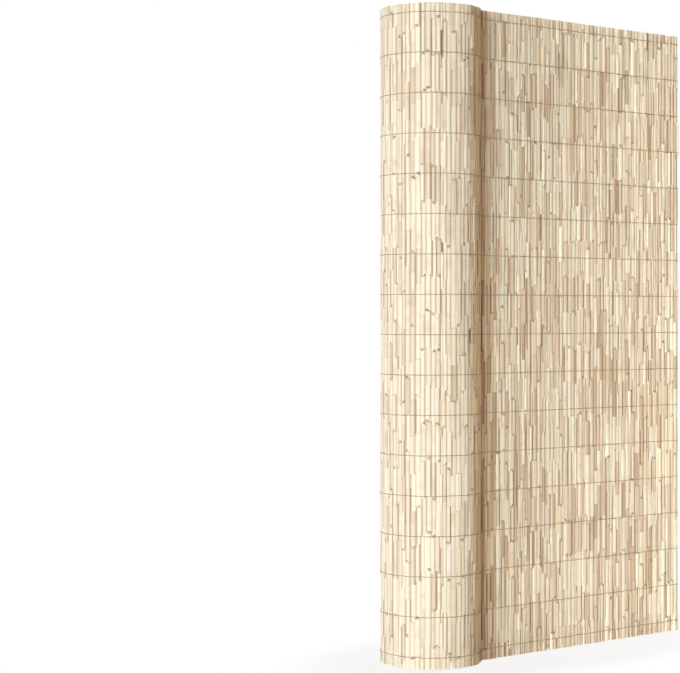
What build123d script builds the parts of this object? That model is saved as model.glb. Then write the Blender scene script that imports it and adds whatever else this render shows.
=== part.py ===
from build123d import *
import os
import random
from math import cos, pi, radians, sin, sqrt

# Reed screen, partly unrolled and standing on its reed ends.
# One wall of upright reeds comes from the free end as a flat sheet, bends towards the viewer
# where it meets the roll, goes round the roll and winds inwards to a hollow core.
# Rows of binding wire run along the front, round the last reed and back along the rear face.
# All lengths are in millimetres, +Z is up and +X runs along the flat sheet to its free end.

# Screen
HEIGHT = 1500.0             # length of the reeds
MAT_THICKNESS = 7.5         # over the crests of both faces
REED_PITCH = 9.5            # from one reed to the next
RIDGE_DEPTH = 2.5           # from a reed's crest down to the valley beside it
CREST_SHARE = 0.5           # part of a reed's width that is its flat crest
INNER_REEDS_PER_RIDGE = 2   # reeds that one ridge stands for inside the roll
INNER_BULGE_SHARE = 1 / 3   # part of the turn gap that such a ridge may take up

# Roll and sheet
ROLL_RADIUS = 118.5         # outer face, where the sheet leaves the roll
CORE_RADIUS = 24.0          # middle of the innermost turn
TURN_GAP = 1.3              # air between one turn and the next
SHEET_LENGTH = 691.5        # flat part, up to the free end
LEAVE_ANGLE = 41.33         # degrees, from the sheet's direction to where it leaves the roll
BEND_RADIUS = 5.0           # front face of the bend between roll and sheet

# Binding wires
WIRE_ROWS = 17
WIRE_SIZE = 1.6
TOP_MARGIN = 21.0           # from the reed tops to the first row
BOTTOM_MARGIN = 26.0        # from the last row to the reed ends
REEDS_PER_WIRE_CHORD = 2    # straight stretch of wire round the roll
WIRE_TO_BEND = 0.3          # clearance in the bend
WIRE_TO_ROLL = 0.1          # clearance at the middle of each chord round the roll
BEND_WIRE_CORNERS = (0.35, 0.75)    # shares of the bend's length
WIRE_TUCK_ANGLE = 12.0      # degrees short of a full turn, where the wire goes in under the sheet

# Gaps between reeds that light shows through
GAPS_PER_BAY = 6            # a bay is the strip between two rows of wire
GAP_WIDTH = 1.5
GAP_TO_WIRE = 9.0           # reed left whole above and below each row of wire
SHORTEST_GAP_SHARE = 0.6    # of the longest gap that fits in a bay
GAP_EDGE_REEDS = 3          # reeds left whole at each end of the sheet
GAP_SEED = 11

# Derived sizes
half_thickness = MAT_THICKNESS / 2
turn_pitch = MAT_THICKNESS + TURN_GAP
middle_radius = ROLL_RADIUS - half_thickness
bend_middle_radius = BEND_RADIUS + half_thickness
leave = radians(LEAVE_ANGLE)
bend_centre_x = (middle_radius + bend_middle_radius) * cos(leave)
bend_centre_y = -(middle_radius + bend_middle_radius) * sin(leave)
sheet_middle_y = bend_centre_y + bend_middle_radius
free_end_x = bend_centre_x + SHEET_LENGTH
bend_turn = pi / 2 - leave
bend_start = SHEET_LENGTH
bend_end = bend_start + bend_middle_radius * bend_turn
rolled_length = pi * (middle_radius ** 2 - CORE_RADIUS ** 2) / turn_pitch
mat_length = bend_end + rolled_length
wire_spacing = (HEIGHT - TOP_MARGIN - BOTTOM_MARGIN) / (WIRE_ROWS - 1)
sheet_reeds = round(SHEET_LENGTH / REED_PITCH)
reed_width = SHEET_LENGTH / sheet_reeds


def turned_at(length):
    """Angle wound round the roll, for a length of mat measured from the end of the bend."""
    radius = sqrt(middle_radius ** 2 - turn_pitch * length / pi)
    return (middle_radius - radius) * 2 * pi / turn_pitch


def wound_to(angle):
    """Length of mat in the roll, for an angle wound from the end of the bend."""
    return middle_radius * angle - turn_pitch * angle ** 2 / (4 * pi)


def mat_point(along, offset):
    """Point at a length along the mat from the free end, offset from its middle to the front."""
    if along <= bend_start:
        return (free_end_x - along, sheet_middle_y - offset)
    if along <= bend_end:
        angle = pi / 2 + (along - bend_start) / bend_middle_radius
        radius = bend_middle_radius - offset
        return (bend_centre_x + radius * cos(angle), bend_centre_y + radius * sin(angle))
    turned = turned_at(along - bend_end)
    radius = middle_radius - turn_pitch * turned / (2 * pi) + offset
    return (radius * cos(-leave - turned), radius * sin(-leave - turned))


def crests(start, width, crest_share):
    """Both edges of a flat crest, or the one edge of a sharp one."""
    middle = start + width / 2
    if crest_share == 0:
        return [middle]
    half_crest = width * crest_share / 2
    return [middle - half_crest, middle + half_crest]


def ridge(start, width, side, crest_share):
    """Points of one reed on the front (side 1) or the rear (side -1)."""
    valley = mat_point(start, side * (half_thickness - RIDGE_DEPTH))
    tops = [mat_point(along, side * half_thickness) for along in crests(start, width, crest_share)]
    return [valley] + tops


def inner_ridge_width(along):
    """Width of the coarser ridges inside the roll, kept flat enough to clear the next turn."""
    radius = sqrt(max(middle_radius ** 2 - turn_pitch * (along - bend_end) / pi, CORE_RADIUS ** 2))
    return min(INNER_REEDS_PER_RIDGE * REED_PITCH, sqrt(8 * radius * TURN_GAP * INNER_BULGE_SHARE))


def mat_outline():
    """Closed outline of the wall in plan: the front to the core, and the rear back out."""
    front = []
    rear = []
    along = 0.0
    outer_turn_end = bend_end + wound_to(2 * pi) + INNER_REEDS_PER_RIDGE * REED_PITCH
    while along + reed_width < min(outer_turn_end, mat_length):
        front += ridge(along, reed_width, 1, CREST_SHARE)
        if along < bend_end:
            rear += ridge(along, reed_width, -1, CREST_SHARE)
        else:
            rear += [mat_point(along, -half_thickness)]
        along += reed_width
    while along + inner_ridge_width(along) < mat_length:
        width = inner_ridge_width(along)
        front += ridge(along, width, 1, 0)
        rear += [mat_point(along, -half_thickness)]
        along += width
    front += [mat_point(along, half_thickness - RIDGE_DEPTH)]
    rear += [mat_point(along, RIDGE_DEPTH - half_thickness)]
    return front + rear[::-1]


def reed_gaps():
    """Boxes through the sheet, in the valleys between reeds, clear of every row of wire."""
    rng = random.Random(GAP_SEED)
    gap_height = wire_spacing - WIRE_SIZE - 2 * GAP_TO_WIRE
    gaps = []
    for bay in range(WIRE_ROWS - 1):
        middle_z = BOTTOM_MARGIN + (bay + 0.5) * wire_spacing
        valleys = range(GAP_EDGE_REEDS, sheet_reeds - GAP_EDGE_REEDS + 1)
        for valley in rng.sample(valleys, GAPS_PER_BAY):
            x = free_end_x - valley * reed_width
            height = gap_height * rng.uniform(SHORTEST_GAP_SHARE, 1.0)
            place = Pos(x, sheet_middle_y, middle_z)
            gaps.append(place * Box(GAP_WIDTH, 2 * MAT_THICKNESS, height))
    return gaps


def build_mat():
    """The whole wall of reeds as one solid, roll, bend and sheet."""
    outline = Polyline(*mat_outline(), close=True)
    wall = extrude(make_face(outline), amount=HEIGHT, dir=(0, 0, 1))
    return wall - reed_gaps()


def wire_line(offset):
    """One edge of a binding wire in plan, at an offset outside the reeds' crests."""
    reach = half_thickness + offset
    in_bend = reach + WIRE_TO_BEND
    chord = REEDS_PER_WIRE_CHORD * REED_PITCH
    on_roll = reach + chord ** 2 / (8 * ROLL_RADIUS) + WIRE_TO_ROLL
    bend_length = bend_end - bend_start
    points = [(bend_centre_x, sheet_middle_y + reach)]
    points += [(free_end_x + offset, sheet_middle_y + reach)]
    points += [(free_end_x + offset, sheet_middle_y - reach)]
    points += [(bend_centre_x, sheet_middle_y - reach)]
    points += [mat_point(bend_start + bend_length * share, in_bend) for share in BEND_WIRE_CORNERS]
    along = bend_end + REED_PITCH
    wire_end = bend_end + wound_to(2 * pi - radians(WIRE_TUCK_ANGLE))
    while along < wire_end:
        points.append(mat_point(along, on_roll))
        along += chord
    points.append(mat_point(wire_end, on_roll))
    return points


def build_wire(row):
    """Binding wire of one row, counted from the bottom."""
    outline = wire_line(0) + wire_line(WIRE_SIZE)[::-1]
    middle_z = BOTTOM_MARGIN + row * wire_spacing
    section = make_face(Polyline(*outline, close=True))
    wire = extrude(section, amount=WIRE_SIZE, dir=(0, 0, 1))
    return Pos(0, 0, middle_z - WIRE_SIZE / 2) * wire


def build_screen():
    """All nodes by name, with the middle of the whole screen's footprint at the origin."""
    nodes = {"reed_mat": build_mat()}
    for row in range(WIRE_ROWS):
        nodes[f"binding_wire_{row + 1:02d}"] = build_wire(row)
    boxes = [solid.bounding_box() for solid in nodes.values()]
    middle_x = (min(box.min.X for box in boxes) + max(box.max.X for box in boxes)) / 2
    middle_y = (min(box.min.Y for box in boxes) + max(box.max.Y for box in boxes)) / 2
    return {name: Pos(-middle_x, -middle_y, 0) * solid for name, solid in nodes.items()}


os.makedirs("parts", exist_ok=True)
for node, solid in build_screen().items():
    export_step(solid, f"parts/{node}.step")
print(f"mat length {mat_length:.0f} mm, {(middle_radius - CORE_RADIUS) / turn_pitch:.1f} turns")
print(f"wire spacing {wire_spacing:.2f} mm")
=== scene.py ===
from math import cos, pi, radians, sin, sqrt

import bpy
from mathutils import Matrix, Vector


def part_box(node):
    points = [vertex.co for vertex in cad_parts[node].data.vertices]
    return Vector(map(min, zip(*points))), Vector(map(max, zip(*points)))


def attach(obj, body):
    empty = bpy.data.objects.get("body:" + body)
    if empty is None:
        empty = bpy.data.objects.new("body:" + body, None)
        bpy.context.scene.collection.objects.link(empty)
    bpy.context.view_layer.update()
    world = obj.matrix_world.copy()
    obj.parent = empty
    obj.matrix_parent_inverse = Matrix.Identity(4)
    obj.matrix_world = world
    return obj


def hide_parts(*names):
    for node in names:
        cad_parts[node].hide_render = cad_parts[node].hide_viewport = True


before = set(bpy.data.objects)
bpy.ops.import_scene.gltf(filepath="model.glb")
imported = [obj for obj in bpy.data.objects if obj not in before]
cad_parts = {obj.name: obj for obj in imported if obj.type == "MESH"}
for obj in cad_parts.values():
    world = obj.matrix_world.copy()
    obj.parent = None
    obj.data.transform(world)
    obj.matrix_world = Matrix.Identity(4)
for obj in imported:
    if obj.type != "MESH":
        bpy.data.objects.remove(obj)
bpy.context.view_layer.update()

# Reed screen, partly unrolled. All lengths are in metres.
# The reeds are laid side by side along one path in plan: from the free end along the flat sheet,
# round the bend and into the roll. The binding wires are strung along the same path.
# A node divides a reed into stretches, and each stretch has a tone, a girth and seams of its own.

# Mat and roll, as in the part's source
THICKNESS = 0.0075
ROLL_RADIUS = 0.1185
CORE_RADIUS = 0.024
TURN_GAP = 0.0013
SHEET_LENGTH = 0.6915
LEAVE_ANGLE = radians(41.33)
BEND_RADIUS = 0.005
WIRE_TUCK_ANGLE = radians(12.0)
PATH_STEP = 0.001               # between two points of the path

# Order of the reeds
REED_COUNT = 700                # more than the path holds; the rest is left off
REED_SEED = 4
WIDEST_REED = 0.0135
NARROWEST_REED = 0.0085
THIN_REED = 0.0055
THIN_REED_SHARE = 0.20
REED_SLACK = 0.0001             # added to each reed's width

# Nodes of the reeds
NODES = 18                      # on each reed that shows
INNER_NODES = 1                 # on each reed inside the roll
NODE_SCATTER = 0.65             # of the way from one node to the next
STRAY_REEDS = 0.5               # share of reeds whose nodes fall almost anywhere
STRAY_SCATTER = 0.9
NODE_HALF_HEIGHT = 0.0025
RING_BULGE = 0.06               # added to a reed's girth at a node
MARKED_NODES = 0.28             # share of nodes with a dark mark
FAINTEST_MARK = 0.5

# Rows of points up a reed: floor and rim of the hollow, foot, four rows for each node, end, rim, floor
HOLLOW_ROWS = 2
ROWS_PER_NODE = 4               # three close about the node and one midway to the next
RING_PLACE = 1                  # of the node itself, among the four

# Section of a reed, whose depth is a share of its width, or of the mat's thickness where that is less
REED_SIDES = 12
INNER_REED_SIDES = 8
THINNEST = 0.60
FULLEST = 0.92
PROUD = 0.0006                  # that a reed may stand out of the mat's thickness, front and rear together
LEAST_GIRTH = 0.92              # of a stretch, as a share of the reed's own
GIRTH_SPREAD = 0.10
FRONT_HALF_WIDTH = 0.60         # of a reed's own width, so that it overlaps the next one
REAR_HALF_WIDTH = 0.68
FRONT_FROM = 0.1                # how far forward the front half starts, in half depths
FLATNESS = 0.68                 # 1 is an ellipse, less is flatter
GROOVE = 0.26                   # share that a reed narrows by to its crest, beside an open seam
CLOSED_SEAM = 0.5               # a seam's random draw up to which it is closed
OPEN_SEAM = 0.9                 # and from which it is wide open
GROOVE_CURVE = 0.5              # less narrows it nearer its middle
HOLLOW = 0.68                   # width of the hollow, as a share of the reed's
HOLLOW_DEPTH = 0.012
RAGGED = 0.001                  # that a cut end may fall short
WANDER = 0.009                  # whole range of a reed's sideways sway
SWAY_PER_REED = 0.16            # less makes neighbours sway more alike
STRAIGHT_END = 0.05             # of the mat from its free end, over which the sway begins
SHARP_EDGE = radians(55)

# Painted shade in the fold between sheet and roll, and contrast of the reeds' tones and seams, painted for
# how light falls on each run
SHEET_FOLD_SHADE = (0.0, 0.08)   # from the fold along the mat, where its painted shade starts to fade and is gone
ROLL_FOLD_SHADE = (0.03, 0.13)
# Painted light: more contrast on the sheet, which the light grazes, less on the roll's front-lit outer
# turn
SHEET_CONTRAST = 1.45
OUTER_TURN_CONTRAST = 0.72
INNER_CONTRAST = 1.0
FOLD_SHADE_CONTRAST = 0.5             # added in the fold, as a share: painted shade that browns its seams and spreads its tones

# Binding wires
WIRE_ROWS = 17
WIRE_RADIUS = 0.0008
WIRE_SIDES = 6
WIRE_STEP = 0.003

# Numbers that keep the random draws of the shapes apart
THIN_DRAW = 1.0
WIDTH_DRAW = 2.0
WAVER_DRAW = 4.0
GIRTH_DRAW = 5.0
GROOVE_DRAW = 6.0
FOOT_DRAW = 11.0
END_DRAW = 12.0
MARKED_DRAW = 13.0
MARK_DRAW = 14.0
DEPTH_DRAW = 21.0
FORWARD_DRAW = 22.0
STRAY_DRAW = 31.0
PHASE_DRAW = 32.0

# And those of the finish
REED_TONE_DRAW = 1.0
STRETCH_TONE_DRAW = 2.0
SEAM_DRAW = 3.0
MARK_SIDE_DRAW = 4.0
TAN_DRAW = 5.0

# Tones of peeled reed, each with its place on a scale from brown through pale to greenish and tan
REED_TONES = [
    (0.0, (0.54, 0.40, 0.27)),
    (0.13, (0.69, 0.56, 0.40)),
    (0.28, (0.81, 0.70, 0.54)),
    (0.44, (0.90, 0.82, 0.66)),
    (0.60, (0.95, 0.885, 0.72)),
    (0.76, (0.92, 0.84, 0.63)),
    (0.88, (0.77, 0.71, 0.54)),
    (1.0, (0.81, 0.69, 0.55)),
]
# What a stretch's tone comes from: its reed, itself and its neighbours
REED_TONE = 0.18
STRETCH_TONE = 0.56
NEIGHBOUR_TONE = 0.26

# Blotches: how fast their noise changes, and its values where their mask starts and is full
NEIGHBOUR_SPREAD = (0.83, 1.7, 3.0)     # for each reed, for each stretch, and a place of its own
NEIGHBOUR_MASK = (0.30, 0.70)
STAIN_SPREAD = (3.7, 16.0)              # for each reed and for each metre up
STAIN_MASK = (0.50, 0.70)
FIBRE_SPREAD = (700.0, 700.0, 14.0)     # for each metre in x, in y and up
FIBRE_MASK = (0.35, 0.70)
RUST_SPREAD = (60.0, 60.0, 60.0)
RUST_MASK = (0.42, 0.62)

# Colours laid over the tones, and how much of each
STAIN_BROWN = (0.60, 0.45, 0.30)
STAIN_SHARE = 0.40
FIBRE_BROWN = (0.66, 0.53, 0.37)
FIBRE_SHARE = 0.12
# Tan edges and brown seams: partly the reeds' own edge colour, partly painted shade between the reeds
SEAM_TAN_AND_SHADE = (0.58, 0.41, 0.23)
SEAM_TAN_AND_SHADE_SHARES = (0.1, 0.8)            # least and most
SEAM_BROWN_AND_SHADE = (0.34, 0.21, 0.105)
SEAM_BROWN_AND_SHADE_SHARE = 0.95
SEAM_BROWN_AND_SHADE_DRAWS = (0.5, 0.95)          # random draws from which a seam turns brown and is brownest
SEAM_EDGE = (0.34, 0.90)                # in half widths, where the seam's colour starts and is full
# Painted shade, multiplied into the reeds in the fold
FOLD_SHADE = (0.93, 0.72, 0.47)
MARK_BROWN = (0.30, 0.20, 0.11)
MARK_PLACES = 1.2                       # range of the marks' places, in half widths of a reed
MARK_HALF_WIDTH = (0.3, 0.8)            # where a mark starts to fade and is gone
MARK_HALF_HEIGHT = (0.001, 0.005)
# Painted shade inside the reeds' hollow ends
HOLLOW_SHADE = (0.28, 0.19, 0.10)
HOLLOW_SHADE_SHARE = 0.5

# Gloss of reed and wire, where smooth, and what fibre or rust changes in it
REED_ROUGHNESS = 0.48
FIBRE_ROUGHNESS = 0.18
FIBRE_RELIEF = 0.0004
FIBRE_RELIEF_STRENGTH = 0.3
WIRE_ZINC = (0.42, 0.32, 0.205)
WIRE_BROWN = (0.31, 0.215, 0.125)
WIRE_METALLIC = 0.4
RUST_METALLIC = 0.3
WIRE_ROUGHNESS = 0.5
RUST_ROUGHNESS = 0.25

WHITE = (1.0, 1.0, 1.0)
WARM = (1.0, 0.88, 0.71)
# Lamps: name, degrees round to the right of the camera, degrees up, distance, width and height,
# how far its aim is shifted to the camera's right, degrees of its beam, power, colour
LAMPS = [
    ("key", -23, 0, 5.0, 1.6, 3.2, 1.05, 28, 27.8, WHITE),
    ("front", -12, 0, 5.0, 1.4, 3.2, 1.10, 30, 13.0, WHITE),
    ("left", -90, 0, 3.0, 1.8, 1.8, 0.0, 180, 30.0, WHITE),
    ("right", 70, 0, 2.2, 0.8, 1.4, 0.3, 120, 3.5, WARM),
    ("back", 160, 0, 4.0, 2.4, 2.4, 0.0, 180, 70.0, WHITE),
    ("top", 180, 80, 3.0, 1.6, 1.6, 0.0, 180, 16.0, WHITE),
]
AMBIENT = 0.08

# Floor, which the camera sees partly white near the object and wholly white farther away
FLOOR_GREY = 0.86
FLOOR_ROUGHNESS = 0.9
FLOOR_SPECULAR = 0.1
FLOOR_HALF_SIZE = 30.0
FLOOR_COUNTS = (1.6, 3.4, 1.0)  # what a metre along and across the sheet counts in the distance
FLOOR_NEAR = 0.8                # counted distance where the floor starts to whiten
FLOOR_FAR = 1.25                # and is wholly white
FLOOR_NEAR_WHITE = 0.85

# Camera, from a fit to the rows of wire in the photograph
IMAGE_WIDTH_PX = 680
IMAGE_HEIGHT_PX = 673
FOCAL_PX = 1992
HORIZON_PX = 313.6
CAMERA_HEIGHT = 0.80
CAMERA_TO_ROLL = 4.5908
ROLL_RIGHT_OF_AXIS = 0.2074
SHEET_TURN = radians(40.14)     # of the sheet away from the picture plane
SENSOR_WIDTH = 36.0             # in millimetres

half_thickness = THICKNESS / 2
turn_pitch = THICKNESS + TURN_GAP
middle_radius = ROLL_RADIUS - half_thickness
bend_middle_radius = BEND_RADIUS + half_thickness
bend_x = (middle_radius + bend_middle_radius) * cos(LEAVE_ANGLE)
bend_y = -(middle_radius + bend_middle_radius) * sin(LEAVE_ANGLE)
sheet_y = bend_y + bend_middle_radius
free_end_x = bend_x + SHEET_LENGTH
bend_end = SHEET_LENGTH + bend_middle_radius * (pi / 2 - LEAVE_ANGLE)
mat_length = bend_end + pi * (middle_radius ** 2 - CORE_RADIUS ** 2) / turn_pitch
mat_low, mat_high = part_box("reed_mat")
height = mat_high.z - mat_low.z


def wound_to(angle):
    """Length of mat in the roll, for an angle wound from the end of the bend."""
    return middle_radius * angle - turn_pitch * angle ** 2 / (4 * pi)


def mat_point(along, offset=0.0):
    """Point in plan at a length along the mat from its free end, offset to the front."""
    if along <= SHEET_LENGTH:
        return Vector((free_end_x - along, sheet_y - offset, 0))
    if along <= bend_end:
        angle = pi / 2 + (along - SHEET_LENGTH) / bend_middle_radius
        radius = bend_middle_radius - offset
        return Vector((bend_x + radius * cos(angle), bend_y + radius * sin(angle), 0))
    wound_radius = sqrt(middle_radius ** 2 - turn_pitch * (along - bend_end) / pi)
    angle = -LEAVE_ANGLE - (middle_radius - wound_radius) * 2 * pi / turn_pitch
    return Vector(((wound_radius + offset) * cos(angle), (wound_radius + offset) * sin(angle), 0))


def path_points():
    """Points of the mat's middle line in plan, from the free end to the core, and the roll's axis."""
    steps = int(mat_length / PATH_STEP)
    lengths = [mat_length * step / steps for step in range(steps)]
    front_y = min(mat_point(along, half_thickness).y for along in lengths)
    to_frame = Vector((mat_high.x - free_end_x, mat_low.y - front_y, mat_low.z))
    return [mat_point(along) + to_frame for along in lengths], to_frame


def fill(tree, node, links):
    """Set or link a node's inputs."""
    for socket, value in links.items():
        if isinstance(value, bpy.types.NodeSocket):
            tree.links.new(value, node.inputs[socket])
        else:
            node.inputs[socket].default_value = value
    return node


def add(tree, kind, links=None, **settings):
    """Add a node with its settings, and set or link its inputs."""
    node = tree.nodes.new(kind)
    for name, value in settings.items():
        setattr(node, name, value)
    return fill(tree, node, links or {})


def use_group(tree, group, links):
    """Outputs of a node group."""
    kind = "GeometryNodeGroup" if group.bl_idname == "GeometryNodeTree" else "ShaderNodeGroup"
    node = tree.nodes.new(kind)
    node.node_tree = group
    return fill(tree, node, links).outputs


def passed(given, *names):
    """Inputs of a tree, to hand on under the same names."""
    return {name: given[name] for name in names}


def new_tree(name, kind, inputs, outputs):
    """Empty node group with its sockets, and its input and output nodes."""
    tree = bpy.data.node_groups.new(name, kind)
    for label, socket in inputs.items():
        tree.interface.new_socket(label, in_out="INPUT", socket_type="NodeSocket" + socket)
    for label, socket in outputs.items():
        tree.interface.new_socket(label, in_out="OUTPUT", socket_type="NodeSocket" + socket)
    return tree, tree.nodes.new("NodeGroupInput").outputs, tree.nodes.new("NodeGroupOutput").inputs


def give(tree, result, values):
    """Link a tree's outputs."""
    for name, value in values.items():
        tree.links.new(value, result[name])


def calc(tree, operation, *values):
    """Output of a math node."""
    return add(tree, "ShaderNodeMath", dict(enumerate(values)), operation=operation).outputs[0]


def plus(tree, first, second):
    """Sum of two values."""
    return calc(tree, "ADD", first, second)


def minus(tree, first, second):
    """Difference of two values."""
    return calc(tree, "SUBTRACT", first, second)


def times(tree, first, *others):
    """Product of two or more values."""
    for other in others:
        first = calc(tree, "MULTIPLY", first, other)
    return first


def less(tree, value, limit):
    """1 where a value is less than a limit, and 0 elsewhere."""
    return calc(tree, "LESS_THAN", value, limit)


def more(tree, value, limit):
    """1 where a value is more than a limit, and 0 elsewhere."""
    return calc(tree, "GREATER_THAN", value, limit)


def blend_value(tree, share, low, high):
    """Value between low and high."""
    return add(tree, "ShaderNodeMix", {0: share, 2: low, 3: high}, clamp_factor=True).outputs[0]


def map_range(tree, value, low, high, at_low=0.0, at_high=1.0, curve="LINEAR"):
    """Value that goes from at_low to at_high while another goes from low to high."""
    links = {0: value, 1: low, 2: high, 3: at_low, 4: at_high}
    return add(tree, "ShaderNodeMapRange", links, interpolation_type=curve).outputs[0]


def vector_calc(tree, operation, *values):
    """Output of a vector math node."""
    return add(tree, "ShaderNodeVectorMath", dict(enumerate(values)), operation=operation).outputs[0]


def scaled(tree, vector, scale):
    """Vector times a value."""
    return add(tree, "ShaderNodeVectorMath", {0: vector, "Scale": scale}, operation="SCALE").outputs[0]


def combine(tree, x, y, z):
    """Vector made of three values."""
    return add(tree, "ShaderNodeCombineXYZ", {0: x, 1: y, 2: z}).outputs[0]


def separate(tree, vector):
    """The three values of a vector."""
    return add(tree, "ShaderNodeSeparateXYZ", {0: vector}).outputs


def hashed(tree, *values):
    """Even random value between 0 and 1, fixed by up to three values."""
    x, y, z = (list(values) + [0.0, 0.0])[:3]
    return add(tree, "ShaderNodeTexWhiteNoise", {0: combine(tree, x, y, z)}).outputs[0]


def smooth_noise(tree, x, y):
    """Smooth random value about 0.5 that changes along x and y."""
    links = {"Vector": combine(tree, x, y, 0.0), "Scale": 1.0, "Detail": 1.0}
    return add(tree, "ShaderNodeTexNoise", links, noise_dimensions="2D").outputs[0]


def store(tree, geometry, name, value, kind="FLOAT"):
    """Geometry with a value kept on its points under a name."""
    links = {"Geometry": geometry, "Name": name}
    node = add(tree, "GeometryNodeStoreNamedAttribute", links, data_type=kind, domain="POINT")
    tree.links.new(value, next(s for s in node.inputs if s.name == "Value" and s.enabled))
    return node.outputs[0]


def kept(tree, name, kind="FLOAT"):
    """Value kept on the geometry under a name."""
    return add(tree, "GeometryNodeInputNamedAttribute", {"Name": name}, data_type=kind).outputs[0]


def finished(tree, geometry, material):
    """Geometry without the values that only its making needs, and with its material."""
    geometry = add(tree, "GeometryNodeRemoveAttribute", {"Geometry": geometry, "Name": "lay_*"},
                   pattern_mode="WILDCARD").outputs[0]
    geometry = add(tree, "GeometryNodeRealizeInstances", {0: geometry}).outputs[0]
    return add(tree, "GeometryNodeSetMaterial", {"Geometry": geometry, "Material": material}).outputs[0]


def reed_order():
    """Node group: one point for each reed along the path, with its width, front and number."""
    sockets = {"Path": "Geometry", "First": "Float", "Last": "Float", "Seed": "Int"}
    tree, given, result = new_tree("reed_order", "GeometryNodeTree", sockets, {"Points": "Geometry"})
    number = add(tree, "GeometryNodeInputIndex").outputs[0]
    thin = less(tree, hashed(tree, number, given["Seed"], THIN_DRAW), THIN_REED_SHARE)
    full = hashed(tree, number, given["Seed"], WIDTH_DRAW)
    full = blend_value(tree, full, NARROWEST_REED, WIDEST_REED)
    width = blend_value(tree, thin, full, THIN_REED)
    spacing = plus(tree, width, REED_SLACK)
    before = add(tree, "GeometryNodeAccumulateField", {0: spacing}).outputs["Trailing"]
    points = add(tree, "GeometryNodePoints", {"Count": REED_COUNT}).outputs[0]
    points = store(tree, points, "lay_reed", number)
    points = store(tree, points, "lay_width", width)
    points = store(tree, points, "lay_along", plus(tree, before, times(tree, spacing, 0.5)))

    along = kept(tree, "lay_along")
    past_last = minus(tree, 1.0, less(tree, along, given["Last"]))
    outside = calc(tree, "MAXIMUM", less(tree, along, given["First"]), past_last)
    points = add(tree, "GeometryNodeDeleteGeometry", {0: points, 1: outside}).outputs[0]
    curve = add(tree, "GeometryNodeMeshToCurve", {0: given["Path"]}).outputs[0]
    place = add(tree, "GeometryNodeSampleCurve", {"Curves": curve, "Length": along}, mode="LENGTH").outputs
    links = {"Geometry": points, "Position": place["Position"]}
    points = add(tree, "GeometryNodeSetPosition", links).outputs[0]
    front = vector_calc(tree, "CROSS_PRODUCT", (0.0, 0.0, 1.0), place["Tangent"])
    points = store(tree, points, "lay_across", place["Tangent"], "FLOAT_VECTOR")
    points = store(tree, points, "lay_front", front, "FLOAT_VECTOR")
    give(tree, result, {"Points": points})
    return tree


def node_phase():
    """Node group: where a reed's nodes fall, as a share of the way from one level to the next."""
    sockets = {"Reed": "Float", "Node Scatter": "Float", "Stray Share": "Float"}
    tree, given, result = new_tree("node_phase", "GeometryNodeTree", sockets, {"Phase": "Float"})
    stray = less(tree, hashed(tree, given["Reed"], STRAY_DRAW), given["Stray Share"])
    scatter = blend_value(tree, stray, given["Node Scatter"], STRAY_SCATTER)
    offset = times(tree, minus(tree, hashed(tree, given["Reed"], PHASE_DRAW), 0.5), scatter)
    give(tree, result, {"Phase": plus(tree, 0.5, offset)})
    return tree


def reed_section():
    """Node group: how thick a reed is, and how far forward one of its stretches sits."""
    sockets = {"Reed": "Float", "Band": "Float", "Width": "Float", "Thickness": "Float"}
    outputs = {"Depth": "Float", "Forward": "Float"}
    tree, given, result = new_tree("reed_section", "GeometryNodeTree", sockets, outputs)
    fullness = blend_value(tree, hashed(tree, given["Reed"], DEPTH_DRAW), THINNEST, FULLEST)
    depth = times(tree, calc(tree, "MINIMUM", given["Width"], given["Thickness"]), fullness)
    room = plus(tree, given["Thickness"], PROUD)
    play = times(tree, minus(tree, room, depth), 0.5)
    swing = times(tree, hashed(tree, given["Reed"], given["Band"], FORWARD_DRAW), 2.0)
    swing = minus(tree, swing, 1.0)
    give(tree, result, {"Depth": depth, "Forward": times(tree, play, swing)})
    return tree


def reed_rows():
    """Node group: what a row of points on a reed is, from its number from the bottom up."""
    names = ("Node", "Place", "Midway", "Above Foot", "At End", "Inside", "Foot Floor", "End Floor")
    sockets = {"Row": "Float", "Last Row": "Float"}
    outputs = {name: "Float" for name in names}
    tree, given, result = new_tree("reed_rows", "GeometryNodeTree", sockets, outputs)
    row = given["Row"]
    from_last = minus(tree, given["Last Row"], row)
    end_row = minus(tree, given["Last Row"], 2 * HOLLOW_ROWS)
    shaft_row = calc(tree, "MAXIMUM", minus(tree, row, HOLLOW_ROWS), 0.0)
    shaft_row = calc(tree, "MINIMUM", shaft_row, end_row)
    past_foot = minus(tree, shaft_row, 1.0)
    node = calc(tree, "FLOOR", calc(tree, "DIVIDE", past_foot, ROWS_PER_NODE))
    place = minus(tree, past_foot, times(tree, node, ROWS_PER_NODE))
    give(tree, result, {
        "Node": node,
        "Place": place,
        "Midway": more(tree, place, ROWS_PER_NODE - 1.5),
        "Above Foot": more(tree, shaft_row, 0.5),
        "At End": more(tree, shaft_row, minus(tree, end_row, 0.5)),
        "Inside": less(tree, calc(tree, "MINIMUM", row, from_last), HOLLOW_ROWS - 0.5),
        "Foot Floor": less(tree, row, 0.5),
        "End Floor": less(tree, from_last, 0.5),
    })
    return tree


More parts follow.
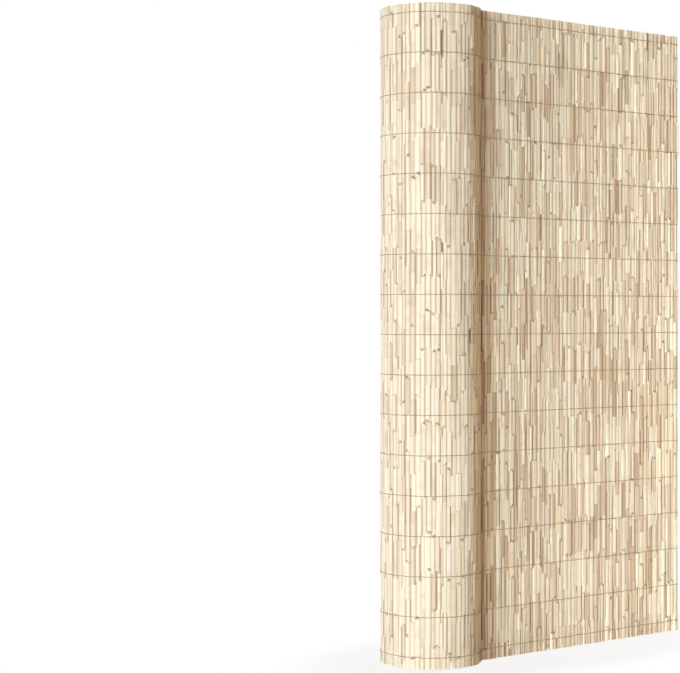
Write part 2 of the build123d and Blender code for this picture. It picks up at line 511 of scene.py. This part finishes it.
def reed_levels(rows):
    """Node group: how high up a reed a row of its points lies."""
    sockets = {"Reed": "Float", "Row": "Float", "Last Row": "Float", "Phase": "Float", "Spacing": "Float",
               "Height": "Float", "Node Half Height": "Float", "Hollow Depth": "Float", "Ragged": "Float"}
    tree, given, result = new_tree("reed_levels", "GeometryNodeTree", sockets, {"Level": "Float"})
    row = use_group(tree, rows, passed(given, "Row", "Last Row"))

    def node_height(node):
        level = times(tree, plus(tree, node, given["Phase"]), given["Spacing"])
        return calc(tree, "MINIMUM", level, given["Height"])

    this_node = node_height(row["Node"])
    next_node = node_height(plus(tree, row["Node"], 1.0))
    between = times(tree, plus(tree, this_node, next_node), 0.5)
    from_ring = times(tree, minus(tree, row["Place"], RING_PLACE), given["Node Half Height"])
    level = blend_value(tree, row["Midway"], plus(tree, this_node, from_ring), between)
    level = times(tree, level, row["Above Foot"])
    level = blend_value(tree, row["At End"], level, given["Height"])
    level = plus(tree, level, times(tree, row["Foot Floor"], given["Hollow Depth"]))
    level = minus(tree, level, times(tree, row["End Floor"], given["Hollow Depth"]))
    foot_short = times(tree, hashed(tree, given["Reed"], FOOT_DRAW), given["Ragged"])
    end_short = times(tree, hashed(tree, given["Reed"], END_DRAW), given["Ragged"])
    share_up = calc(tree, "DIVIDE", level, given["Height"])
    level = plus(tree, level, times(tree, foot_short, minus(tree, 1.0, share_up)))
    level = minus(tree, level, times(tree, end_short, share_up))
    give(tree, result, {"Level": level})
    return tree


def reed_outline(section):
    """Node group: how far a point of a reed lies across the mat and to its front."""
    sockets = {"Cell": "Vector", "Reed": "Float", "Band": "Float", "Along": "Float", "Width": "Float",
               "Phase": "Float", "At Ring": "Float", "Inside": "Float", "Thickness": "Float",
               "Hollow": "Float", "Groove": "Float", "Flatness": "Float", "Wander": "Float",
               "Straight End": "Float"}
    outputs = {"Sideways": "Float", "Forward": "Float"}
    tree, given, result = new_tree("reed_outline", "GeometryNodeTree", sockets, outputs)
    number = given["Reed"]
    band = given["Band"]
    to_side, to_front, _ = separate(tree, given["Cell"])
    shape = use_group(tree, section, passed(given, "Reed", "Band", "Width", "Thickness"))

    girth = times(tree, hashed(tree, number, band, GIRTH_DRAW), GIRTH_SPREAD)
    girth = plus(tree, LEAST_GIRTH, girth)
    girth = plus(tree, girth, times(tree, given["At Ring"], RING_BULGE))
    girth = times(tree, girth, blend_value(tree, given["Inside"], 1.0, given["Hollow"]))

    seam = plus(tree, number, more(tree, to_side, 0.0))
    opened = map_range(tree, hashed(tree, seam, band, GROOVE_DRAW), CLOSED_SEAM, OPEN_SEAM)
    out_from_middle = calc(tree, "ABSOLUTE", to_front)
    narrowed = times(tree, calc(tree, "POWER", out_from_middle, GROOVE_CURVE), opened, given["Groove"])
    half_width = blend_value(tree, less(tree, to_front, FRONT_FROM), FRONT_HALF_WIDTH, REAR_HALF_WIDTH)
    half_width = times(tree, given["Width"], half_width, girth, minus(tree, 1.0, narrowed))
    half_depth = times(tree, shape["Depth"], 0.5, girth)
    flat = calc(tree, "POWER", out_from_middle, given["Flatness"])
    flat = times(tree, flat, calc(tree, "SIGN", to_front))

    sway = smooth_noise(tree, times(tree, number, SWAY_PER_REED), plus(tree, band, given["Phase"]))
    sway = times(tree, minus(tree, sway, 0.5), given["Wander"])
    sway = times(tree, sway, map_range(tree, given["Along"], 0.0, given["Straight End"]))
    give(tree, result, {"Sideways": plus(tree, times(tree, to_side, half_width), sway),
                        "Forward": plus(tree, times(tree, flat, half_depth), shape["Forward"])})
    return tree


def lay_reeds(order, phase, rows, levels, outline):
    """Geometry Nodes: hollow reeds side by side along the path, with what their finish needs to know."""
    sockets = {"Path": "Geometry", "First": "Float", "Last": "Float", "Seed": "Int", "Height": "Float",
               "Thickness": "Float", "Sides": "Int", "Nodes": "Int", "Node Scatter": "Float",
               "Stray Share": "Float", "Node Half Height": "Float", "Marked Nodes": "Float",
               "Hollow": "Float", "Hollow Depth": "Float", "Groove": "Float", "Flatness": "Float",
               "Wander": "Float", "Straight End": "Float", "Ragged": "Float", "Fold Middle": "Float",
               "Fold Shade Fades From": "Float", "Fold Shade Fades To": "Float", "Contrast": "Float",
               "Material": "Material"}
    tree, given, result = new_tree("lay_reeds", "GeometryNodeTree", sockets, {"Geometry": "Geometry"})
    points = use_group(tree, order, passed(given, "Path", "First", "Last", "Seed"))[0]
    last_row = plus(tree, times(tree, given["Nodes"], ROWS_PER_NODE), 2 * HOLLOW_ROWS + 1)
    links = {"Vertices": given["Sides"], "Side Segments": last_row, "Radius": 1.0, "Depth": 1.0}
    reed = add(tree, "GeometryNodeMeshCylinder", links).outputs["Mesh"]
    here = add(tree, "GeometryNodeInputPosition").outputs[0]
    reed = store(tree, reed, "lay_cell", here, "FLOAT_VECTOR")
    links = {"Points": points, "Instance": reed}
    reeds = add(tree, "GeometryNodeInstanceOnPoints", links).outputs[0]
    reeds = add(tree, "GeometryNodeRealizeInstances", {0: reeds}).outputs[0]

    number = kept(tree, "lay_reed")
    along = kept(tree, "lay_along")
    cell = kept(tree, "lay_cell", "FLOAT_VECTOR")
    to_side, _, up = separate(tree, cell)
    row_number = calc(tree, "ROUND", times(tree, plus(tree, up, 0.5), last_row))
    row = use_group(tree, rows, {"Row": row_number, "Last Row": last_row})
    links = {"Reed": number} | passed(given, "Node Scatter", "Stray Share")
    start = use_group(tree, phase, links)[0]
    spacing = calc(tree, "DIVIDE", given["Height"], given["Nodes"])
    band = minus(tree, row["Node"], less(tree, row["Place"], RING_PLACE - 0.5))
    from_ring = calc(tree, "ABSOLUTE", minus(tree, row["Place"], RING_PLACE))

    links = {"Reed": number, "Row": row_number, "Last Row": last_row, "Phase": start, "Spacing": spacing}
    links |= passed(given, "Height", "Node Half Height", "Hollow Depth", "Ragged")
    level = use_group(tree, levels, links)[0]
    links = {"Cell": cell, "Reed": number, "Band": band, "Along": along, "Phase": start,
             "Width": kept(tree, "lay_width"), "At Ring": less(tree, from_ring, 0.5),
             "Inside": row["Inside"]}
    links |= passed(given, "Thickness", "Hollow", "Groove", "Flatness", "Wander", "Straight End")
    shape = use_group(tree, outline, links)
    side_shift = scaled(tree, kept(tree, "lay_across", "FLOAT_VECTOR"), shape["Sideways"])
    front_shift = scaled(tree, kept(tree, "lay_front", "FLOAT_VECTOR"), shape["Forward"])
    place = vector_calc(tree, "SUBTRACT", add(tree, "GeometryNodeInputPosition").outputs[0], cell)
    for shift in (side_shift, front_shift, combine(tree, 0.0, 0.0, level)):
        place = vector_calc(tree, "ADD", place, shift)

    # Painted shade: a mask that fades out from the fold, darkening the reeds there and raising their
    # contrast
    from_fold = calc(tree, "ABSOLUTE", minus(tree, along, given["Fold Middle"]))
    fold_shade = map_range(tree, from_fold, given["Fold Shade Fades From"], given["Fold Shade Fades To"], 1.0, 0.0)
    fold_shade = times(tree, fold_shade, fold_shade)
    fold_shade_contrast = plus(tree, 1.0, times(tree, fold_shade, FOLD_SHADE_CONTRAST))
    mark = blend_value(tree, hashed(tree, number, row["Node"], MARK_DRAW), FAINTEST_MARK, 1.0)
    marked = less(tree, hashed(tree, number, row["Node"], MARKED_DRAW), given["Marked Nodes"])
    marked = times(tree, marked, mark, minus(tree, 1.0, row["Inside"]))
    node_gap = times(tree, from_ring, given["Node Half Height"])
    node_gap = blend_value(tree, row["Midway"], node_gap, times(tree, spacing, 0.5))
    for_finish = {"reed": number, "side": to_side, "band": band, "fold": fold_shade, "marked": marked,
                  "node_gap": node_gap, "hollow": row["Inside"],
                  "contrast": times(tree, given["Contrast"], fold_shade_contrast)}
    for name, value in for_finish.items():
        reeds = store(tree, reeds, name, value)

    reeds = add(tree, "GeometryNodeSetPosition", {"Geometry": reeds, "Position": place}).outputs[0]
    sharp = more(tree, add(tree, "GeometryNodeInputMeshEdgeAngle").outputs[0], SHARP_EDGE)
    links = {"Geometry": reeds, "Shade Smooth": minus(tree, 1.0, sharp)}
    reeds = add(tree, "GeometryNodeSetShadeSmooth", links, domain="EDGE").outputs[0]
    give(tree, result, {"Geometry": finished(tree, reeds, given["Material"])})
    return tree


def string_wire(order, section, phase):
    """Geometry Nodes: one row of binding wire, along the rear, round the last reed and along the front."""
    sockets = {"Path": "Geometry", "Front Last": "Float", "Rear Last": "Float", "Seed": "Int",
               "Row Height": "Float", "Row": "Int", "Thickness": "Float", "Wire Radius": "Float",
               "Node Spacing": "Float", "Node Scatter": "Float", "Stray Share": "Float",
               "Material": "Material"}
    tree, given, result = new_tree("string_wire", "GeometryNodeTree", sockets, {"Geometry": "Geometry"})
    radius = given["Wire Radius"]

    def strand(side, last):
        links = {"First": 0.0, "Last": last} | passed(given, "Path", "Seed")
        points = use_group(tree, order, links)[0]
        number = kept(tree, "lay_reed")
        links = {"Reed": number} | passed(given, "Node Scatter", "Stray Share")
        start = use_group(tree, phase, links)[0]
        spaces = calc(tree, "DIVIDE", given["Row Height"], given["Node Spacing"])
        band = calc(tree, "FLOOR", minus(tree, spaces, start))
        links = {"Reed": number, "Band": band, "Width": kept(tree, "lay_width")}
        shape = use_group(tree, section, links | passed(given, "Thickness"))
        reach = plus(tree, times(tree, shape["Depth"], 0.5), radius)
        out = plus(tree, times(tree, reach, side), shape["Forward"])
        shift = scaled(tree, kept(tree, "lay_front", "FLOAT_VECTOR"), out)
        waver = minus(tree, hashed(tree, number, given["Row"], WAVER_DRAW), 0.5)
        lift = plus(tree, given["Row Height"], times(tree, waver, radius))
        offset = vector_calc(tree, "ADD", shift, combine(tree, 0.0, 0.0, lift))
        links = {"Geometry": points, "Offset": offset}
        points = add(tree, "GeometryNodeSetPosition", links).outputs[0]
        return store(tree, points, "lay_order", times(tree, kept(tree, "lay_along"), side))

    curve = add(tree, "GeometryNodeMeshToCurve", {0: given["Path"]}).outputs[0]
    end = add(tree, "GeometryNodeSampleCurve", {"Curves": curve, "Factor": 0.0}, mode="FACTOR").outputs
    turn = vector_calc(tree, "SUBTRACT", end["Position"], scaled(tree, end["Tangent"], radius))
    turn = vector_calc(tree, "ADD", turn, combine(tree, 0.0, 0.0, given["Row Height"]))
    turn_point = add(tree, "GeometryNodePoints", {"Count": 1, "Position": turn}).outputs[0]
    joined = tree.nodes.new("GeometryNodeJoinGeometry")
    for points in (strand(-1.0, given["Rear Last"]), turn_point, strand(1.0, given["Front Last"])):
        tree.links.new(points, joined.inputs[0])
    links = {"Points": joined.outputs[0], "Weight": kept(tree, "lay_order")}
    line = add(tree, "GeometryNodePointsToCurves", links).outputs[0]
    line = add(tree, "GeometryNodeCurveSplineType", {0: line}, spline_type="CATMULL_ROM").outputs[0]
    links = {"Curve": line, "Length": WIRE_STEP}
    line = add(tree, "GeometryNodeResampleCurve", links, mode="LENGTH").outputs[0]
    links = {"Resolution": WIRE_SIDES, "Radius": radius}
    ring = add(tree, "GeometryNodeCurvePrimitiveCircle", links).outputs[0]
    links = {"Curve": line, "Profile Curve": ring, "Fill Caps": True}
    wire = add(tree, "GeometryNodeCurveToMesh", links).outputs[0]
    give(tree, result, {"Geometry": finished(tree, wire, given["Material"])})
    return tree


def grow(name, tree, line, values):
    """Plain mesh object that a Geometry Nodes tree makes from a line of points."""
    line_mesh = bpy.data.meshes.new(name + "_line")
    line_mesh.from_pydata(line, [(n, n + 1) for n in range(len(line) - 1)], [])
    maker = bpy.data.objects.new(name + "_maker", line_mesh)
    bpy.context.scene.collection.objects.link(maker)
    modifier = maker.modifiers.new("make", "NODES")
    modifier.node_group = tree
    sockets = {item.name: item.identifier for item in tree.interface.items_tree if item.in_out == "INPUT"}
    for label, value in values.items():
        modifier[sockets[label]] = value
    evaluated = maker.evaluated_get(bpy.context.evaluated_depsgraph_get())
    mesh = bpy.data.meshes.new_from_object(evaluated)
    bpy.data.objects.remove(maker)
    bpy.data.meshes.remove(line_mesh)
    mesh.name = name
    piece = bpy.data.objects.new(name, mesh)
    bpy.context.scene.collection.objects.link(piece)
    return piece


def new_material(name):
    """Empty node material with its Principled shader."""
    material = bpy.data.materials.new(name)
    material.use_nodes = True
    tree = material.node_tree
    return material, tree, tree.nodes["Principled BSDF"].inputs


def mottle():
    """Shader node group: mask of soft blotches on any coordinates."""
    sockets = {"Vector": "Vector", "Low": "Float", "High": "Float"}
    tree, given, result = new_tree("mottle", "ShaderNodeTree", sockets, {"Mask": "Float"})
    links = {"Vector": given["Vector"], "Scale": 1.0, "Detail": 3.0}
    noise = add(tree, "ShaderNodeTexNoise", links).outputs[0]
    mask = map_range(tree, noise, given["Low"], given["High"], curve="SMOOTHSTEP")
    give(tree, result, {"Mask": mask})
    return tree


def mask_of(tree, blotches, coordinates, limits):
    """Mask of soft blotches, which starts and is full at two values of the noise under it."""
    low, high = limits
    return use_group(tree, blotches, {"Vector": coordinates, "Low": low, "High": high})[0]


def mix_color(tree, share, under, over, blend="MIX"):
    """Colour between two colours, or under one darkened by the other."""
    node = add(tree, "ShaderNodeMix", {0: share}, data_type="RGBA", blend_type=blend)
    for socket, color in ((6, under), (7, over)):
        value = (*color, 1.0) if isinstance(color, tuple) else color
        fill(tree, node, {socket: value})
    return node.outputs[2]


def attribute(tree, name):
    """Value of a named attribute of the mesh."""
    return add(tree, "ShaderNodeAttribute", attribute_name=name).outputs["Fac"]


def on_object(tree):
    """Object coordinates."""
    return add(tree, "ShaderNodeTexCoord").outputs["Object"]


def stretched(tree, scale):
    """Object coordinates scaled on each axis."""
    return add(tree, "ShaderNodeMapping", {"Vector": on_object(tree), "Scale": scale}).outputs[0]


def stretch_color(tree, blotches, reed, band, contrast):
    """Tone of a stretch of reed, with stains along the reed."""
    ramp = tree.nodes.new("ShaderNodeValToRGB")
    elements = ramp.color_ramp.elements
    while len(elements) < len(REED_TONES):
        elements.new(0.5)
    for element, (place, color) in zip(elements, REED_TONES):
        element.position = place
        element.color = (*color, 1.0)
    per_reed, per_stretch, apart = NEIGHBOUR_SPREAD
    spread = combine(tree, times(tree, reed, per_reed), times(tree, band, per_stretch), apart)
    neighbours = mask_of(tree, blotches, spread, NEIGHBOUR_MASK)
    tone = plus(tree, times(tree, hashed(tree, reed, REED_TONE_DRAW), REED_TONE),
                times(tree, hashed(tree, reed, band, STRETCH_TONE_DRAW), STRETCH_TONE))
    tone = plus(tree, tone, times(tree, neighbours, NEIGHBOUR_TONE))
    # The contrast is partly painted light: raised where the light grazes and in the fold's shade, lowered
    # on the front-lit roll
    tone = plus(tree, 0.5, times(tree, minus(tree, tone, 0.5), contrast))
    tree.links.new(tone, ramp.inputs[0])

    per_reed, per_metre = STAIN_SPREAD
    up = separate(tree, on_object(tree))[2]
    spread = combine(tree, times(tree, reed, per_reed), times(tree, up, per_metre), 0.0)
    stain = mask_of(tree, blotches, spread, STAIN_MASK)
    return mix_color(tree, times(tree, stain, STAIN_SHARE), ramp.outputs[0], STAIN_BROWN)


def seam_color(tree, color, reed, band, side, contrast):
    """Colour with tan edges on a reed and some brown seams, partly the reeds' own colour and partly
    painted shade between reeds.
    """
    seam = plus(tree, reed, more(tree, side, 0.0))
    edge = map_range(tree, calc(tree, "ABSOLUTE", side), *SEAM_EDGE, curve="SMOOTHSTEP")
    tan = blend_value(tree, hashed(tree, seam, band, TAN_DRAW), *SEAM_TAN_AND_SHADE_SHARES)
    brown = map_range(tree, hashed(tree, seam, band, SEAM_DRAW), *SEAM_BROWN_AND_SHADE_DRAWS)
    # The painted shade in the seams grows with the contrast, so seams in the fold are browner
    brown = times(tree, brown, times(tree, contrast, SEAM_BROWN_AND_SHADE_SHARE))
    color = mix_color(tree, times(tree, edge, tan), color, SEAM_TAN_AND_SHADE)
    return mix_color(tree, times(tree, edge, brown), color, SEAM_BROWN_AND_SHADE)


def mark_color(tree, color, reed, band, side):
    """Colour with a dark mark on one side of some nodes."""
    mark_side = minus(tree, hashed(tree, reed, band, MARK_SIDE_DRAW), 0.5)
    mark_side = times(tree, mark_side, MARK_PLACES)
    from_mark = calc(tree, "ABSOLUTE", minus(tree, side, mark_side))
    spot = map_range(tree, from_mark, *MARK_HALF_WIDTH, 1.0, 0.0)
    near_node = map_range(tree, attribute(tree, "node_gap"), *MARK_HALF_HEIGHT, 1.0, 0.0)
    mark = times(tree, attribute(tree, "marked"), near_node, spot)
    return mix_color(tree, mark, color, MARK_BROWN)


def peeled_reed(blotches):
    """Dry peeled reed: pale stretches of differing tone, tan seams partly painted as shade, marked nodes,
    painted shade in the fold and inside the cut hollow ends.
    """
    material, tree, shader = new_material("peeled_reed")
    reed = calc(tree, "ROUND", attribute(tree, "reed"))
    band = calc(tree, "ROUND", attribute(tree, "band"))
    side = attribute(tree, "side")
    contrast = attribute(tree, "contrast")
    fibre = mask_of(tree, blotches, stretched(tree, FIBRE_SPREAD), FIBRE_MASK)
    color = stretch_color(tree, blotches, reed, band, contrast)
    color = mix_color(tree, times(tree, fibre, FIBRE_SHARE), color, FIBRE_BROWN)
    color = seam_color(tree, color, reed, band, side, contrast)
    # Painted shade in the fold between sheet and roll
    color = mix_color(tree, attribute(tree, "fold"), color, FOLD_SHADE, "MULTIPLY")
    color = mark_color(tree, color, reed, band, side)
    # Painted shade inside the hollow ends
    color = mix_color(tree, times(tree, attribute(tree, "hollow"), HOLLOW_SHADE_SHARE), color, HOLLOW_SHADE)
    links = {"Strength": FIBRE_RELIEF_STRENGTH, "Distance": FIBRE_RELIEF, "Height": fibre}
    bump = add(tree, "ShaderNodeBump", links).outputs[0]
    rough = plus(tree, REED_ROUGHNESS, times(tree, fibre, FIBRE_ROUGHNESS))
    give(tree, shader, {"Base Color": color, "Roughness": rough, "Normal": bump})
    return material


def dull_wire(blotches):
    """Thin galvanised wire gone dull, with brown blotches."""
    material, tree, shader = new_material("dull_wire")
    rust = mask_of(tree, blotches, stretched(tree, RUST_SPREAD), RUST_MASK)
    metallic = minus(tree, WIRE_METALLIC, times(tree, rust, RUST_METALLIC))
    rough = plus(tree, WIRE_ROUGHNESS, times(tree, rust, RUST_ROUGHNESS))
    color = mix_color(tree, rust, WIRE_ZINC, WIRE_BROWN)
    give(tree, shader, {"Base Color": color, "Metallic": metallic, "Roughness": rough})
    return material


def seen_as_background(tree):
    """1 for what the camera sees directly, in a reflection or through glass, and 0 for light."""
    seen = add(tree, "ShaderNodeLightPath").outputs
    direct = calc(tree, "MAXIMUM", seen["Is Camera Ray"], seen["Is Glossy Ray"])
    return calc(tree, "MAXIMUM", direct, seen["Is Transmission Ray"])


def white_floor():
    """Pale floor that looks white to the camera and keeps the shadow near the object."""
    mesh = bpy.data.meshes.new("floor")
    corners = [(-1, -1), (1, -1), (1, 1), (-1, 1)]
    points = [(x * FLOOR_HALF_SIZE, y * FLOOR_HALF_SIZE, 0) for x, y in corners]
    mesh.from_pydata(points, [], [(0, 1, 2, 3)])
    floor = bpy.data.objects.new("floor", mesh)
    bpy.context.scene.collection.objects.link(floor)
    material, tree, shader = new_material("floor_white")
    shader["Base Color"].default_value = (FLOOR_GREY, FLOOR_GREY, FLOOR_GREY, 1.0)
    shader["Roughness"].default_value = FLOOR_ROUGHNESS
    shader["Specular IOR Level"].default_value = FLOOR_SPECULAR
    white = add(tree, "ShaderNodeEmission", {"Color": (*WHITE, 1.0), "Strength": 1.0}).outputs[0]
    footprint = stretched(tree, FLOOR_COUNTS)
    away = add(tree, "ShaderNodeVectorMath", {0: footprint}, operation="LENGTH").outputs["Value"]
    far = map_range(tree, away, FLOOR_NEAR, FLOOR_FAR, FLOOR_NEAR_WHITE, 1.0, "SMOOTHSTEP")
    share = times(tree, seen_as_background(tree), far)
    floor_shader = tree.nodes["Principled BSDF"].outputs[0]
    surface = add(tree, "ShaderNodeMixShader", {0: share, 1: floor_shader, 2: white}).outputs[0]
    tree.links.new(surface, tree.nodes["Material Output"].inputs["Surface"])
    mesh.materials.append(material)


def white_world(strength):
    """Soft warm light from all round, seen as white."""
    world = bpy.data.worlds.new("studio")
    world.use_nodes = True
    tree = world.node_tree
    direct = seen_as_background(tree)
    color = mix_color(tree, direct, WARM, WHITE)
    strength = blend_value(tree, direct, strength, 1.0)
    give(tree, tree.nodes["Background"].inputs, {"Color": color, "Strength": strength})
    bpy.context.scene.world = world


def soft_lamp(name, place, target, width, tall, beam, power, color):
    """Large flat lamp aimed at a point, its beam narrowed as by a grid."""
    data = bpy.data.lights.new(name, "AREA")
    data.shape = "RECTANGLE"
    data.size = width
    data.size_y = tall
    data.spread = radians(beam)
    data.energy = power
    data.color = color
    lamp = bpy.data.objects.new(name, data)
    lamp.location = place
    lamp.rotation_euler = (target - place).to_track_quat("-Z", "Y").to_euler()
    bpy.context.scene.collection.objects.link(lamp)


def photo_camera(roll_axis):
    """Camera at the photograph's height, distance and angle, with its right and ahead directions."""
    right = Vector((cos(SHEET_TURN), -sin(SHEET_TURN), 0))
    ahead = Vector((sin(SHEET_TURN), cos(SHEET_TURN), 0))
    place = roll_axis - right * ROLL_RIGHT_OF_AXIS - ahead * CAMERA_TO_ROLL
    place.z = CAMERA_HEIGHT
    data = bpy.data.cameras.new("camera")
    data.sensor_width = SENSOR_WIDTH
    data.lens = SENSOR_WIDTH * FOCAL_PX / IMAGE_WIDTH_PX
    data.shift_y = (HORIZON_PX - IMAGE_HEIGHT_PX / 2) / IMAGE_WIDTH_PX
    camera = bpy.data.objects.new("camera", data)
    camera.location = place
    camera.rotation_euler = ahead.to_track_quat("-Z", "Y").to_euler()
    bpy.context.scene.collection.objects.link(camera)
    bpy.context.scene.camera = camera
    return right, ahead


line, to_frame = path_points()
blotches = mottle()
reed_finish = peeled_reed(blotches)
wire_finish = dull_wire(blotches)
order = reed_order()
phase = node_phase()
section = reed_section()
rows = reed_rows()
reed_tree = lay_reeds(order, phase, rows, reed_levels(rows), reed_outline(section))
wire_tree = string_wire(order, section, phase)

shared_values = {"Seed": REED_SEED, "Thickness": THICKNESS, "Node Scatter": NODE_SCATTER,
                 "Stray Share": STRAY_REEDS}
reed_values = {"Height": height, "Node Half Height": NODE_HALF_HEIGHT, "Marked Nodes": MARKED_NODES,
               "Hollow": HOLLOW, "Hollow Depth": HOLLOW_DEPTH, "Groove": GROOVE, "Flatness": FLATNESS,
               "Wander": WANDER, "Straight End": STRAIGHT_END, "Ragged": RAGGED,
               "Fold Middle": bend_end, "Material": reed_finish}
first_turn_end = bend_end + wound_to(2 * pi)
# Each run's contrast is painted light: the sheet's is raised for light that grazes it, the outer turn's
# lowered for its front light
reed_runs = [
    ("sheet_reeds", 0.0, bend_end, REED_SIDES, NODES, SHEET_FOLD_SHADE, SHEET_CONTRAST),
    ("outer_turn_reeds", bend_end, first_turn_end, REED_SIDES, NODES, ROLL_FOLD_SHADE, OUTER_TURN_CONTRAST),
    ("inner_turn_reeds", first_turn_end, mat_length, INNER_REED_SIDES, INNER_NODES, ROLL_FOLD_SHADE,
     INNER_CONTRAST),
]
for name, first, last, sides, nodes, (fades_from, fades_to), contrast in reed_runs:
    values = {"First": first, "Last": last, "Sides": sides, "Nodes": nodes, "Fold Shade Fades From": fades_from,
              "Fold Shade Fades To": fades_to, "Contrast": contrast}
    piece = grow(name, reed_tree, line, shared_values | reed_values | values)
    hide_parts("reed_mat")
    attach(piece, "root")

wire_values = {"Front Last": bend_end + wound_to(2 * pi - WIRE_TUCK_ANGLE), "Rear Last": SHEET_LENGTH,
               "Wire Radius": WIRE_RADIUS, "Node Spacing": height / NODES, "Material": wire_finish}
for row in range(1, WIRE_ROWS + 1):
    node = f"binding_wire_{row:02d}"
    low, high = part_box(node)
    values = {"Row": row, "Row Height": (low.z + high.z) / 2}
    piece = grow(f"wire_row_{row:02d}", wire_tree, line, shared_values | wire_values | values)
    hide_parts(node)
    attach(piece, "root")

right, ahead = photo_camera(Vector((to_frame.x, to_frame.y, 0)))
middle = Vector((0, 0, height / 2))
white_floor()
white_world(AMBIENT)
for lamp_name, turn, rise, distance, width, tall, shift, beam, power, color in LAMPS:
    away = right * sin(radians(turn)) - ahead * cos(radians(turn))
    place = away * distance * cos(radians(rise))
    place.z = max(middle.z, tall / 2) + distance * sin(radians(rise))
    soft_lamp(lamp_name, place, middle + right * shift, width, tall, beam, power, color)
bpy.context.scene.view_settings.view_transform = "Standard"
